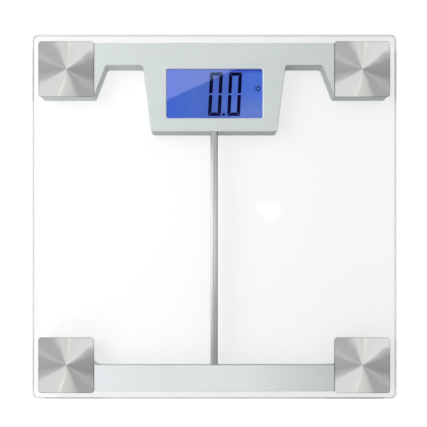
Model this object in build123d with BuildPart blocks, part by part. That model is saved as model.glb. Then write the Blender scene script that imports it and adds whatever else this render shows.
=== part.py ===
"""Square glass bathroom scale: a clear platform on four load cells.

A slim electronics console lies under the rear edge, a wire stem runs forward
from it, and a bar joins the two front feet.

Frame: millimetres, +Z up, +X to the right, +Y towards the display.
The origin is the centre of the footprint, on the floor.
"""
from build123d import *
import os

os.makedirs("parts", exist_ok=True)

# Driving dimensions: platform
GLASS_SIDE = 310.0
GLASS_THICK = 6.0
GLASS_CORNER_R = 5.0
GLASS_EDGE = 1.1
GLASS_Z = 18.0
BOND = 0.05

# Driving dimensions: steel corner plates and the feet below them
FOOT_AT = 126.6
PLATE_SIDE = 47.6
PLATE_THICK = 0.5
PLATE_CORNER_R = 2.5
PAD_THICK = 0.25

# Driving dimensions: mouldings
CASE_Z = 3.0
WALL = 2.2
ROOF = 1.9
COVER_THICK = 1.8
FIT = 0.2
CORNER_R = 3.0

# Driving dimensions: console plan, right half
CONSOLE_REAR = 149.0
CONSOLE_SIDE = 150.0
LOBE_FRONT = 103.5
NOTCH_OUTER = (102.8, LOBE_FRONT)
NOTCH_TOP_OUTER = (92.6, 130.0)
NOTCH_TOP_INNER = (61.0, 130.0)
BAY_FRONT = (54.0, 73.2)

# Driving dimensions: display stack
WINDOW = (82.2, 42.2)
WINDOW_AT = (0.4, 105.9)
WINDOW_R = 1.8
WINDOW_BEVEL = 0.6
LCD = (86.0, 49.0, 2.0)
LCD_AT = (0.0, 106.8)
BACKLIGHT = (84.0, 43.0, 2.3)
BACKLIGHT_AT = (0.0, 105.0)
LCD_FRAME_WALL = 1.2
BOARD = (93.0, 65.8, 1.2)
BOARD_AT = (0.0, 109.1)

# Driving dimensions: coin cells and their door
CELL_R = 10.0
CELL_THICK = 3.2
CELL_AT = (10.6, 92.0)
BAY = (45.2, 22.0)
BAY_WALL = 1.2
DOOR_WIDTH = 46.4
DOOR_FRONT = 80.4
DOOR_THICK = 1.6
HINGE_AT = (105.8, 4.3)
HINGE_R = 1.3
HINGE_PIN_R = 0.8

# Driving dimensions: unit button
BUTTON_AT = (35.0, 92.0)
BUTTON_R = 5.0
BUTTON_TRAVEL = 0.4

# Driving dimensions: feet
CELL_PLATE = 34.6
CELL_PLATE_THICK = 1.2
CELL_PLATE_Z = 10.0
CUP_R = 14.8
CUP_FLANGE_R = 15.8
FOOT_PAD_R = 12.6
FOOT_TRAVEL = 0.5

# Driving dimensions: front bar and stem
BAR_FRONT = -149.0
BAR_REAR = -126.4
BAR_Z = 7.5
BAR_LOBE_INNER = 105.2
BAR_LOBE_SIDE = 149.4
BAR_LOBE_REAR = -104.4
BAR_FLARE_LEFT_R = 6.0
BAR_FLARE_RIGHT_R = 2.0
BAR_SPAN = 95.0
STEM_WIDTH = 6.2
STEM_Z = 11.9
STEM_WALL = 1.2
WIRE_R = 0.4

# Derived values
CASE_TOP = GLASS_Z - BOND
PLATE_Z = CASE_TOP - PLATE_THICK
LOBE_TOP = PLATE_Z - PAD_THICK
CEILING = CASE_TOP - ROOF
COVER_TOP = CASE_Z + COVER_THICK
CELL_PLATE_TOP = CELL_PLATE_Z + CELL_PLATE_THICK
WELL_TOP = 15.0
LCD_Z = CEILING - LCD[2]
BACKLIGHT_Z = LCD_Z - BACKLIGHT[2] - 0.1
BOARD_TOP = BACKLIGHT_Z - 0.1
BOARD_Z = BOARD_TOP - BOARD[2]
BAY_TOP = 9.2
BAY_CEILING = BAY_TOP - 0.9
COIN_Z = CASE_Z + DOOR_THICK + 0.1
HINGE_Y = HINGE_AT[0]
HINGE_Z = HINGE_AT[1]
STEM_FRONT = BAR_REAR
STEM_REAR = BAY_FRONT[1]

FEET = {
    "rear_left": (-1, 1),
    "rear_right": (1, 1),
    "front_left": (-1, -1),
    "front_right": (1, -1),
}
COVER_SCREWS = [(-97, 143.6), (-66, 143.6), (66, 143.6), (97, 143.6), (-50.2, 84), (50.2, 84)]
BOARD_SCREWS = [(-40, 137.5), (40, 137.5), (-30, 78.6), (30, 78.6)]
BAR_SCREWS = [(-86, -141.5), (-30, -141.5), (30, -141.5), (86, -141.5)]


def save(piece, name):
    """Label a finished piece and write it to its own STEP file."""
    piece.part.label = name
    export_step(piece.part, f"parts/{name}.step")


def foot_centre(sx, sy):
    """Plan position of one foot."""
    return (sx * FOOT_AT, sy * FOOT_AT)


# ---------------------------------------------------------------- plans

def console_plan():
    """Console outline: rear bar, display bay and a lobe over each rear foot."""
    with BuildSketch() as plan:
        with BuildLine():
            Polyline(
                (0, CONSOLE_REAR),
                (CONSOLE_SIDE, CONSOLE_REAR),
                (CONSOLE_SIDE, LOBE_FRONT),
                NOTCH_OUTER,
                NOTCH_TOP_OUTER,
                NOTCH_TOP_INNER,
                BAY_FRONT,
                (0, BAY_FRONT[1]),
            )
            mirror(about=Plane.YZ)
        make_face()
        fillet(plan.vertices().filter_by(lambda v: abs(v.X) > 1), CORNER_R)
    return plan.sketch


def console_room(inset):
    """Space inside the console walls, between the two foot lobes."""
    plan = console_plan()
    with BuildSketch() as room:
        add(plan)
        offset(amount=-inset, mode=Mode.REPLACE)
        Rectangle(2 * (BAR_SPAN + 8 - inset + WALL), 400, mode=Mode.INTERSECT)
    return room.sketch


def bar_plan():
    """Front bar outline with a lobe over each front foot."""
    with BuildSketch() as plan:
        with BuildLine():
            Polyline(
                (0, BAR_FRONT),
                (BAR_LOBE_SIDE, BAR_FRONT),
                (BAR_LOBE_SIDE, BAR_LOBE_REAR),
                (BAR_LOBE_INNER, BAR_LOBE_REAR),
                (BAR_LOBE_INNER, BAR_REAR),
                (0, BAR_REAR),
            )
            mirror(about=Plane.YZ)
        make_face()
        outer = plan.vertices().filter_by(lambda v: abs(v.X) > 1)
        inner = outer.filter_by(lambda v: abs(v.Y - BAR_REAR) < 0.1).sort_by(Axis.X)
        fillet(inner[0], BAR_FLARE_LEFT_R)
        inner = plan.vertices().filter_by(lambda v: v.X > 1 and abs(v.Y - BAR_REAR) < 0.1)
        fillet(inner, BAR_FLARE_RIGHT_R)
        outer = plan.vertices().filter_by(lambda v: abs(v.X) > BAR_LOBE_INNER - 0.1)
        fillet(outer.filter_by(lambda v: v.Y > -105 or v.Y < -148), CORNER_R)
    return plan.sketch


# ---------------------------------------------------------------- platform

def glass_platform():
    """Tempered glass plate with ground and polished edges."""
    with BuildPart() as glass:
        with BuildSketch(Plane.XY.offset(GLASS_Z)):
            RectangleRounded(GLASS_SIDE, GLASS_SIDE, GLASS_CORNER_R)
        extrude(amount=GLASS_THICK)
        flat = glass.faces().filter_by(Axis.Z)
        chamfer(flat.edges(), GLASS_EDGE)
    return glass


def corner_plate(sx, sy):
    """Thin steel trim plate bonded under one corner of the glass."""
    with BuildPart() as plate:
        with BuildSketch(Plane(origin=(*foot_centre(sx, sy), PLATE_Z))):
            RectangleRounded(PLATE_SIDE, PLATE_SIDE, PLATE_CORNER_R)
        extrude(amount=PLATE_THICK)
        chamfer(plate.faces().sort_by(Axis.Z)[-1].edges(), 0.15)
    return plate


def plate_adhesive_pads():
    """Thin adhesive squares between the corner plates and the lobes."""
    with BuildPart() as pads:
        with BuildSketch(Plane.XY.offset(LOBE_TOP)):
            with GridLocations(2 * FOOT_AT, 2 * FOOT_AT, 2, 2):
                RectangleRounded(40, 40, 2)
        extrude(amount=PAD_THICK)
    return pads


# ---------------------------------------------------------------- mouldings

def foot_pocket(sx, sy, slot_inner):
    """Room for one load cell, the well above it and its wire slot."""
    cx, cy = foot_centre(sx, sy)
    slot_outer = FOOT_AT - 13
    slot_at = (sx * (slot_inner + slot_outer) / 2, cy + sy * 5, CELL_PLATE_TOP)
    with BuildPart() as pocket:
        with BuildSketch(Plane(origin=(cx, cy, CASE_Z - 1))):
            RectangleRounded(CELL_PLATE + 0.6, CELL_PLATE + 0.6, 2)
        extrude(amount=CELL_PLATE_TOP - CASE_Z + 1)
        with BuildSketch(Plane(origin=(cx, cy, CELL_PLATE_TOP))):
            RectangleRounded(29, 29, 2)
        extrude(amount=WELL_TOP - CELL_PLATE_TOP)
        with BuildSketch(Plane(origin=slot_at)):
            Rectangle(slot_outer - slot_inner, 4.6)
        extrude(amount=2.6)
    return pocket.part


def console_housing():
    """Upper shell of the console, open below, with window, bosses and foot pockets."""
    plan = console_plan()
    room = console_room(WALL)
    pockets = [foot_pocket(side, 1, BAR_SPAN + 7) for side in (-1, 1)]
    with BuildPart() as case:
        with BuildSketch(Plane.XY.offset(CASE_Z)):
            add(plan)
        extrude(amount=CASE_TOP - CASE_Z)
        fillet(case.faces().sort_by(Axis.Z)[-1].edges(), 0.6)
        fillet(case.faces().sort_by(Axis.Z)[0].edges(), 1.0)
        with BuildSketch(Plane.XY.offset(LOBE_TOP)):
            with Locations((-FOOT_AT, FOOT_AT), (FOOT_AT, FOOT_AT)):
                Rectangle(PLATE_SIDE + 0.6, PLATE_SIDE + 0.6)
        extrude(amount=5, mode=Mode.SUBTRACT)
        with BuildSketch(Plane.XY.offset(CASE_Z)):
            add(room)
        extrude(amount=CEILING - CASE_Z, mode=Mode.SUBTRACT)
        with BuildSketch(Plane.XY.offset(COVER_TOP)):
            with Locations(*COVER_SCREWS):
                Circle(3.0)
        extrude(amount=CEILING + 0.5 - COVER_TOP)
        with BuildSketch(Plane.XY.offset(BOARD_TOP)):
            with Locations(*BOARD_SCREWS):
                Circle(2.0)
        extrude(amount=CEILING + 0.5 - BOARD_TOP)
        with BuildSketch(Plane.XY.offset(COVER_TOP)):
            with Locations(*COVER_SCREWS):
                Circle(1.3)
        extrude(amount=9.0, mode=Mode.SUBTRACT)
        with BuildSketch(Plane.XY.offset(BOARD_TOP)):
            with Locations(*BOARD_SCREWS):
                Circle(0.85)
        extrude(amount=4.2, mode=Mode.SUBTRACT)
        with BuildSketch(Plane(origin=(*WINDOW_AT, CEILING - 1))):
            RectangleRounded(*WINDOW, WINDOW_R)
        extrude(amount=ROOF + 2, mode=Mode.SUBTRACT)
        rim = case.edges().filter_by_position(Axis.Z, CASE_TOP - 0.01, CASE_TOP + 0.01)
        rim = rim.filter_by_position(Axis.X, -WINDOW[0] / 2 - 1, WINDOW[0] / 2 + 1)
        rim = rim.filter_by_position(Axis.Y, WINDOW_AT[1] - WINDOW[1] / 2 - 1, WINDOW_AT[1] + WINDOW[1] / 2 + 1)
        chamfer(rim, WINDOW_BEVEL)
        add(pockets, mode=Mode.SUBTRACT)
        with BuildSketch(Plane(origin=(0, BAY_FRONT[1] + WALL / 2, 13.4))):
            Rectangle(3.8, WALL + 1)
        extrude(amount=2.4, mode=Mode.SUBTRACT)
    return case


def console_cover():
    """Flat lower cover with the coin cell bay, door hinge blocks and button hole."""
    room = console_room(WALL + FIT)
    slot_at = [(-12, HINGE_Y + 0.12), (12, HINGE_Y + 0.12)]
    block_at = [(-18, HINGE_Y + 0.35), (18, HINGE_Y + 0.35)]
    door_rear = HINGE_Y - 1.3
    door_mid = (DOOR_FRONT - FIT + door_rear) / 2
    with BuildPart() as cover:
        with BuildSketch(Plane.XY.offset(CASE_Z)):
            add(room)
        extrude(amount=COVER_THICK)
        with BuildSketch(Plane(origin=(0, CELL_AT[1], CASE_Z))):
            RectangleRounded(BAY[0] + 2 * BAY_WALL, BAY[1] + 2 * BAY_WALL, 1.5)
        extrude(amount=BAY_TOP - CASE_Z)
        with BuildSketch(Plane(origin=(0, CELL_AT[1], CASE_Z))):
            RectangleRounded(*BAY, 1)
        extrude(amount=BAY_CEILING - CASE_Z, mode=Mode.SUBTRACT)
        with BuildSketch(Plane(origin=(0, CELL_AT[1], COIN_Z))):
            Rectangle(0.8, BAY[1] + 1)
        extrude(amount=BAY_CEILING + 0.4 - COIN_Z)
        with BuildSketch(Plane(origin=(0, door_mid, CASE_Z))):
            Rectangle(DOOR_WIDTH + 2 * FIT, door_rear - DOOR_FRONT + FIT)
            with Locations((0, -(door_rear - DOOR_FRONT + FIT) / 2)):
                SlotOverall(14, 5)
        extrude(amount=COVER_THICK, mode=Mode.SUBTRACT)
        with BuildSketch(Plane.XY.offset(CASE_Z)):
            with Locations(*block_at):
                Rectangle(3, 3.2)
        extrude(amount=3.4)
        with BuildSketch(Plane.XY.offset(CASE_Z)):
            with Locations(*slot_at):
                Rectangle(8.6, 3.3)
        extrude(amount=COVER_THICK, mode=Mode.SUBTRACT)
        with BuildSketch(Plane(origin=(0, HINGE_Y, HINGE_Z), x_dir=(0, 1, 0), z_dir=(1, 0, 0))):
            Circle(HINGE_PIN_R + 0.06)
        extrude(amount=18.6, both=True, mode=Mode.SUBTRACT)
        with BuildSketch(Plane(origin=(*BUTTON_AT, CASE_Z))):
            Circle(BUTTON_R + 3)
        extrude(amount=0.5, mode=Mode.SUBTRACT)
        with BuildSketch(Plane(origin=(*BUTTON_AT, CASE_Z))):
            Circle(BUTTON_R + 0.15)
        extrude(amount=COVER_THICK, mode=Mode.SUBTRACT)
        with BuildSketch(Plane.XY.offset(BAY_CEILING - 0.5)):
            for side in (-1, 1):
                with Locations((side * CELL_AT[0], 97.2)):
                    Rectangle(5, 0.9)
                with Locations((side * CELL_AT[0], 102.4)):
                    Rectangle(6.8, 0.9)
        extrude(amount=2, mode=Mode.SUBTRACT)
        with Locations(*[Location((x, y, CASE_Z), (180, 0, 0)) for x, y in COVER_SCREWS]):
            CounterSinkHole(1.45, 2.6, depth=COVER_THICK, counter_sink_angle=90)
    return cover


def front_bar_housing():
    """Front bar shell, open below, with deeper lobes over the front feet."""
    plan = bar_plan()
    pockets = [foot_pocket(side, -1, BAR_SPAN - 1) for side in (-1, 1)]
    with BuildPart() as bar:
        with BuildSketch(Plane.XY.offset(CASE_Z)):
            add(plan)
        extrude(amount=CASE_TOP - CASE_Z)
        fillet(bar.faces().sort_by(Axis.Z)[-1].edges(), 0.6)
        fillet(bar.faces().sort_by(Axis.Z)[0].edges(), 1.0)
        with BuildSketch(Plane.XZ.offset(160)):
            with BuildLine():
                Polyline(
                    (-BAR_SPAN - 6, CASE_Z - 1),
                    (-BAR_SPAN - 1, BAR_Z),
                    (BAR_SPAN + 1, BAR_Z),
                    (BAR_SPAN + 6, CASE_Z - 1),
                    close=True,
                )
            make_face()
        extrude(amount=-60, mode=Mode.SUBTRACT)
        with BuildSketch(Plane.XY.offset(LOBE_TOP)):
            with Locations((-FOOT_AT, -FOOT_AT), (FOOT_AT, -FOOT_AT)):
                Rectangle(PLATE_SIDE + 0.6, PLATE_SIDE + 0.6)
        extrude(amount=5, mode=Mode.SUBTRACT)
        with BuildSketch(Plane(origin=(0, (BAR_FRONT + BAR_REAR) / 2, BAR_Z))):
            RectangleRounded(2 * BAR_SPAN, BAR_REAR - BAR_FRONT - 2 * WALL, 1)
        extrude(amount=CEILING - BAR_Z, mode=Mode.SUBTRACT)
        with BuildSketch(Plane.XY.offset(BAR_Z + COVER_THICK)):
            with Locations(*BAR_SCREWS):
                Circle(2.8)
        extrude(amount=CEILING + 0.5 - BAR_Z - COVER_THICK)
        with BuildSketch(Plane.XY.offset(BAR_Z + COVER_THICK)):
            with Locations(*BAR_SCREWS):
                Circle(1.3)
        extrude(amount=5.5, mode=Mode.SUBTRACT)
        add(pockets, mode=Mode.SUBTRACT)
        with BuildSketch(Plane(origin=(0, BAR_REAR - WALL / 2, 13.4))):
            Rectangle(3.8, WALL + 1)
        extrude(amount=2.4, mode=Mode.SUBTRACT)
    return bar


def front_bar_cover():
    """Strip that closes the front bar from below."""
    with BuildPart() as cover:
        with BuildSketch(Plane(origin=(0, (BAR_FRONT + BAR_REAR) / 2, BAR_Z))):
            RectangleRounded(2 * (BAR_SPAN - FIT), BAR_REAR - BAR_FRONT - 2 * (WALL + FIT), 0.8)
        extrude(amount=COVER_THICK)
        with Locations(*[Location((x, y, BAR_Z), (180, 0, 0)) for x, y in BAR_SCREWS]):
            CounterSinkHole(1.45, 2.6, depth=COVER_THICK, counter_sink_angle=90)
    return cover


def stem_channel():
    """Slim channel that carries the front wires back to the console."""
    length = STEM_REAR - STEM_FRONT - 0.1
    middle = (STEM_REAR + STEM_FRONT) / 2
    with BuildPart() as channel:
        with BuildSketch(Plane(origin=(0, middle, STEM_Z))):
            Rectangle(STEM_WIDTH, length)
        extrude(amount=CASE_TOP - STEM_Z)
        top = channel.faces().sort_by(Axis.Z)[-1].edges().filter_by(Axis.Y)
        fillet(top, 1.8)
        with BuildSketch(Plane(origin=(0, middle, STEM_Z))):
            Rectangle(STEM_WIDTH - 2 * STEM_WALL, length)
        extrude(amount=CASE_TOP - STEM_WALL - STEM_Z, mode=Mode.SUBTRACT)
    return channel


def stem_cover():
    """Strip that snaps into the open side of the stem channel."""
    with BuildPart() as strip:
        with BuildSketch(Plane(origin=(0, (STEM_REAR + STEM_FRONT) / 2, STEM_Z))):
            Rectangle(STEM_WIDTH - 2 * STEM_WALL - 0.2, STEM_REAR - STEM_FRONT - 0.3)
        extrude(amount=1.1)
    return strip


# ---------------------------------------------------------------- fasteners

def countersunk_screws(spots, base, length):
    """Self-tapping countersunk screws, cross recess facing down."""
    with BuildPart() as screws:
        with Locations(*[Location((x, y, base)) for x, y in spots]):
            Cone(2.45, 1.25, 1.2, align=(Align.CENTER, Align.CENTER, Align.MIN))
            Cylinder(1.25, length, align=(Align.CENTER, Align.CENTER, Align.MIN))
            Box(2.6, 0.5, 1.4, mode=Mode.SUBTRACT)
            Box(0.5, 2.6, 1.4, mode=Mode.SUBTRACT)
    return screws


def board_screws():
    """Pan head screws that hold the board to its four posts."""
    with BuildPart() as screws:
        with BuildSketch(Plane.XY.offset(BOARD_Z - 1.0)):
            with Locations(*BOARD_SCREWS):
                Circle(1.9)
        extrude(amount=1.0)
        with BuildSketch(Plane.XY.offset(BOARD_Z)):
            with Locations(*BOARD_SCREWS):
                Circle(0.8)
        extrude(amount=5.0)
        chamfer(screws.faces().group_by(Axis.Z)[0].edges(), 0.3)
        with BuildSketch(Plane.XY.offset(BOARD_Z - 1.0)):
            with Locations(*BOARD_SCREWS):
                Rectangle(2.0, 0.4)
                Rectangle(0.4, 2.0)
        extrude(amount=0.6, mode=Mode.SUBTRACT)
    return screws


# ---------------------------------------------------------------- display

def lcd_panel():
    """Liquid crystal cell: two glass sheets, the rear one with a contact ledge."""
    with BuildPart() as panel:
        with BuildSketch(Plane(origin=(*LCD_AT, LCD_Z))):
            Rectangle(LCD[0], LCD[1])
        extrude(amount=1.0)
        with BuildSketch(Plane(origin=(0, LCD_AT[1] - 1.5, LCD_Z + 1.0))):
            Rectangle(LCD[0], LCD[1] - 3.0)
        extrude(amount=LCD[2] - 1.0 - 0.05)
    return panel


def lcd_backlight():
    """Light guide behind the display with notches for its side lamps."""
    with BuildPart() as guide:
        with BuildSketch(Plane(origin=(*BACKLIGHT_AT, BACKLIGHT_Z))):
            Rectangle(BACKLIGHT[0], BACKLIGHT[1])
            with Locations((0, -BACKLIGHT[1] / 2)):
                with GridLocations(28, 1, 3, 1):
                    Rectangle(5, 2.4, mode=Mode.SUBTRACT)
        extrude(amount=BACKLIGHT[2])
    return guide


def backlight_leds():
    """Side lamps that feed the light guide."""
    with BuildPart() as leds:
        with BuildSketch(Plane(origin=(0, BACKLIGHT_AT[1] - BACKLIGHT[1] / 2 + 0.5, BOARD_TOP))):
            with GridLocations(28, 1, 3, 1):
                Rectangle(4, 0.9)
        extrude(amount=1.6)
    return leds


def lcd_frame():
    """Plastic surround that holds the display stack under its window."""
    outer = (LCD[0] + 2 * LCD_FRAME_WALL + 0.3, LCD[1] + 2 * LCD_FRAME_WALL + 0.3)
    with BuildPart() as frame:
        with BuildSketch(Plane(origin=(*LCD_AT, BOARD_TOP))):
            RectangleRounded(*outer, 1)
            Rectangle(LCD[0] + 0.3, LCD[1] + 0.3, mode=Mode.SUBTRACT)
        extrude(amount=CEILING - BOARD_TOP - 0.05)
    return frame


def zebra_strip():
    """Elastomer strip that joins the board to the contact ledge of the display."""
    with BuildPart() as strip:
        with BuildSketch(Plane(origin=(0, LCD_AT[1] + LCD[1] / 2 - 1.8, BOARD_TOP))):
            Rectangle(80, 1.8)
        extrude(amount=LCD_Z - BOARD_TOP)
    return strip


# ---------------------------------------------------------------- board

def main_board():
    """Circuit board with screw holes and slots for the cell contacts."""
    with BuildPart() as board:
        with BuildSketch(Plane(origin=(*BOARD_AT, BOARD_Z))):
            RectangleRounded(BOARD[0], BOARD[1], 1.5)
        extrude(amount=BOARD[2])
        with Locations(*[(x, y, BOARD_TOP) for x, y in BOARD_SCREWS]):
            Hole(1.1)
    return board


def controller_chip():
    """Bonded chip under a dome of black resin."""
    with BuildPart() as chip:
        with BuildSketch(Plane(origin=(-34, 95, BOARD_Z), x_dir=(1, 0, 0), z_dir=(0, 0, -1))):
            Circle(6)
        extrude(amount=1.4)
        fillet(chip.faces().sort_by(Axis.Z)[0].edges(), 1.1)
    return chip


def board_components():
    """Loose group of surface parts soldered to the underside of the board."""
    down = Plane(origin=(0, 0, BOARD_Z), x_dir=(1, 0, 0), z_dir=(0, 0, -1))
    with BuildPart() as parts:
        with BuildSketch(down):
            with Locations((-30, -116), (-22, -116), (-14, -116), (18, -128), (26, -128)):
                Rectangle(2.0, 1.2)
        extrude(amount=0.6)
        with BuildSketch(down):
            with Locations((-34, -126), (34, -116)):
                Rectangle(8.0, 3.2)
        extrude(amount=2.6)
        with BuildSketch(down):
            with Locations((4, -122)):
                Rectangle(6.0, 6.0)
        extrude(amount=1.2)
        with BuildSketch(down):
            with Locations((14, -118)):
                Circle(2.5)
        extrude(amount=3.6)
    return parts


def tact_switch():
    """Push switch body on the underside of the board."""
    with BuildPart() as switch:
        with BuildSketch(Plane(origin=(*BUTTON_AT, 6.8))):
            Rectangle(6, 6)
        extrude(amount=BOARD_Z - 6.8)
        with BuildSketch(Plane(origin=(*BUTTON_AT, 6.8))):
            Circle(1.8)
        extrude(amount=1.4, mode=Mode.SUBTRACT)
    return switch


def switch_plunger():
    """Plunger of the push switch."""
    with BuildPart() as plunger:
        with BuildSketch(Plane(origin=(*BUTTON_AT, 6.25))):
            Circle(1.7)
        extrude(amount=1.3)
    return plunger


def unit_button():
    """Underside button that changes the unit, held by a flange above the cover."""
    with BuildPart() as button:
        with BuildSketch(Plane(origin=(*BUTTON_AT, CASE_Z + 0.1))):
            Circle(BUTTON_R)
        extrude(amount=COVER_THICK - 0.1)
        fillet(button.faces().sort_by(Axis.Z)[0].edges(), 0.5)
        with BuildSketch(Plane(origin=(*BUTTON_AT, COVER_TOP + 0.05))):
            Circle(BUTTON_R + 1)
        extrude(amount=0.65)
        with BuildSketch(Plane(origin=(*BUTTON_AT, COVER_TOP))):
            Circle(BUTTON_R)
        extrude(amount=0.1)
        with BuildSketch(Plane(origin=(*BUTTON_AT, COVER_TOP + 0.6))):
            Circle(1.5)
        extrude(amount=6.25 - COVER_TOP - 0.6)
    return button


# ---------------------------------------------------------------- power

def coin_cell(side):
    """Coin cell, 20 mm by 3.2 mm: wide can below, smaller cap above."""
    with BuildPart() as cell:
        with BuildSketch(Plane(origin=(side * CELL_AT[0], CELL_AT[1], COIN_Z))):
            Circle(CELL_R)
        extrude(amount=CELL_THICK - 0.4)
        fillet(cell.edges().filter_by(GeomType.CIRCLE), 0.35)
        with BuildSketch(Plane(origin=(side * CELL_AT[0], CELL_AT[1], COIN_Z + 1))):
            Circle(CELL_R - 1.3)
        extrude(amount=CELL_THICK - 1)
    return cell


def spring_contacts():
    """Leaf contacts on the caps of the cells, with tails up to the board."""
    leaf_z = COIN_Z + CELL_THICK + 0.02
    with BuildPart() as leaves:
        with BuildSketch(Plane.XY.offset(leaf_z)):
            with Locations((-CELL_AT[0], 92.8), (CELL_AT[0], 92.8)):
                Rectangle(4, 9)
        extrude(amount=0.25)
        with BuildSketch(Plane.XY.offset(leaf_z)):
            with Locations((-CELL_AT[0], 97.2), (CELL_AT[0], 97.2)):
                Rectangle(4, 0.25)
        extrude(amount=BOARD_Z - leaf_z)
    return leaves


def rim_contacts():
    """Upright contacts that touch the rims of the cells."""
    with BuildPart() as strips:
        with BuildSketch(Plane.XY.offset(COIN_Z + 0.6)):
            with Locations((-CELL_AT[0], 102.4), (CELL_AT[0], 102.4)):
                Rectangle(6, 0.3)
        extrude(amount=BOARD_Z - COIN_Z - 0.6)
    return strips


def battery_door():
    """Cell door with two hinge barrels at the rear and a finger tab at the front."""
    plate_rear = HINGE_Y - 1.9
    with BuildPart() as door:
        with BuildSketch(Plane(origin=(0, (DOOR_FRONT + plate_rear) / 2, CASE_Z))):
            RectangleRounded(DOOR_WIDTH, plate_rear - DOOR_FRONT, 0.6)
            with Locations((0, -(plate_rear - DOOR_FRONT) / 2)):
                SlotOverall(13.4, 4.4)
        extrude(amount=DOOR_THICK)
        with BuildSketch(Plane.XY.offset(CASE_Z)):
            with Locations((-12, HINGE_Y - 1.1), (12, HINGE_Y - 1.1)):
                Rectangle(7.6, 2.2)
        extrude(amount=1.5)
        with BuildSketch(Plane(origin=(0, HINGE_Y, HINGE_Z), x_dir=(0, 1, 0), z_dir=(1, 0, 0))):
            Circle(HINGE_R)
        extrude(amount=15.8, both=True)
        with BuildSketch(Plane(origin=(0, HINGE_Y, HINGE_Z), x_dir=(0, 1, 0), z_dir=(1, 0, 0))):
            Circle(HINGE_R + 0.5)
        extrude(amount=8.2, both=True, mode=Mode.SUBTRACT)
        with BuildSketch(Plane(origin=(16.9, HINGE_Y, HINGE_Z), x_dir=(0, 1, 0), z_dir=(1, 0, 0))):
            Circle(HINGE_PIN_R)
        extrude(amount=1.3, both=True)
        with BuildSketch(Plane(origin=(-16.9, HINGE_Y, HINGE_Z), x_dir=(0, 1, 0), z_dir=(1, 0, 0))):
            Circle(HINGE_PIN_R)
        extrude(amount=1.3, both=True)
        with BuildSketch(Plane(origin=(0, DOOR_FRONT + 1.6, CASE_Z))):
            with GridLocations(1, 1.3, 1, 4):
                Rectangle(9, 0.6)
        extrude(amount=0.35, mode=Mode.SUBTRACT)
    return door


# ---------------------------------------------------------------- feet

def load_cell(sx, sy):
    """Steel weighing plate with a U slot that leaves a bending tongue."""
    cx, cy = foot_centre(sx, sy)
    with BuildPart() as plate:
        with BuildSketch(Plane(origin=(cx, cy, CELL_PLATE_Z))):
            RectangleRounded(CELL_PLATE, CELL_PLATE, 2)
            with Locations((0, -sy * 1.5)):
                Rectangle(21, 19, mode=Mode.SUBTRACT)
            with Locations((0, 0)):
                Rectangle(16.5, 18)
            with GridLocations(28, 28, 2, 2):
                Circle(1.3, mode=Mode.SUBTRACT)
        extrude(amount=CELL_PLATE_THICK)
    return plate


def strain_gauge(sx, sy):
    """Strain gauge under a bead of white potting on the tongue root."""
    cx, cy = foot_centre(sx, sy)
    with BuildPart() as bead:
        with BuildSketch(Plane(origin=(cx, cy + sy * 5, CELL_PLATE_TOP))):
            RectangleRounded(12, 7, 1.5)
        extrude(amount=1.1)
        fillet(bead.faces().sort_by(Axis.Z)[-1].edges(), 0.3)
    return bead


def load_cell_retainer(sx, sy):
    """Square ring that holds the load cell up and guides the foot."""
    cx, cy = foot_centre(sx, sy)
    side = CELL_PLATE + 0.2
    base = CASE_Z + 0.2
    with BuildPart() as ring:
        with BuildSketch(Plane(origin=(cx, cy, base))):
            RectangleRounded(side, side, 2)
            Circle(CUP_R + 0.2, mode=Mode.SUBTRACT)
        extrude(amount=CELL_PLATE_Z - 0.05 - base)
        with BuildSketch(Plane(origin=(cx, cy, 8.5))):
            Circle(CUP_FLANGE_R + 0.2)
        extrude(amount=3, mode=Mode.SUBTRACT)
        with BuildSketch(Plane(origin=(cx, cy, base))):
            with GridLocations(28, 28, 2, 2):
                Circle(1.2, mode=Mode.ADD)
        extrude(amount=0.8, mode=Mode.SUBTRACT)
    return ring


def foot_cup(sx, sy):
    """Round foot that slides in the retainer and presses up on the tongue."""
    cx, cy = foot_centre(sx, sy)
    with BuildPart() as cup:
        with BuildSketch(Plane(origin=(cx, cy, 1.0))):
            Circle(CUP_R)
        extrude(amount=8.2)
        fillet(cup.faces().sort_by(Axis.Z)[0].edges(), 0.8)
        with BuildSketch(Plane(origin=(cx, cy, 8.6))):
            Circle(CUP_FLANGE_R)
        extrude(amount=0.6)
        with BuildSketch(Plane(origin=(cx, cy, 4.0))):
            Circle(CUP_R - 1.6)
            Circle(5, mode=Mode.SUBTRACT)
            Rectangle(1.4, 2 * CUP_R, mode=Mode.SUBTRACT)
            Rectangle(2 * CUP_R, 1.4, mode=Mode.SUBTRACT)
        extrude(amount=6, mode=Mode.SUBTRACT)
        with BuildSketch(Plane(origin=(cx, cy, 8))):
            Circle(4.5)
        extrude(amount=CELL_PLATE_Z - FOOT_TRAVEL - 0.02 - 8)
        with BuildSketch(Plane(origin=(cx, cy, 1.0))):
            Circle(FOOT_PAD_R + 0.1)
        extrude(amount=1.5, mode=Mode.SUBTRACT)
    return cup


def foot_pad(sx, sy):
    """Rubber disc that grips the floor, with two ring grooves."""
    cx, cy = foot_centre(sx, sy)
    with BuildPart() as pad:
        with BuildSketch(Plane(origin=(cx, cy, 0))):
            Circle(FOOT_PAD_R)
        extrude(amount=2.45)
        fillet(pad.faces().sort_by(Axis.Z)[0].edges(), 0.5)
        with BuildSketch(Plane(origin=(cx, cy, 0))):
            Circle(9.4)
            Circle(8.6, mode=Mode.SUBTRACT)
            Circle(5.4)
            Circle(4.6, mode=Mode.SUBTRACT)
        extrude(amount=0.5, mode=Mode.SUBTRACT)
    return pad


# ---------------------------------------------------------------- wiring

def wire(points, bend):
    """One round insulated wire along a bent line."""
    with BuildPart() as strand:
        with BuildLine() as run:
            FilletPolyline(*points, radius=bend)
        with BuildSketch(Plane(origin=run.line @ 0, z_dir=run.line % 0)):
            Circle(WIRE_R)
        sweep(path=run.line)
    return strand.part


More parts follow.
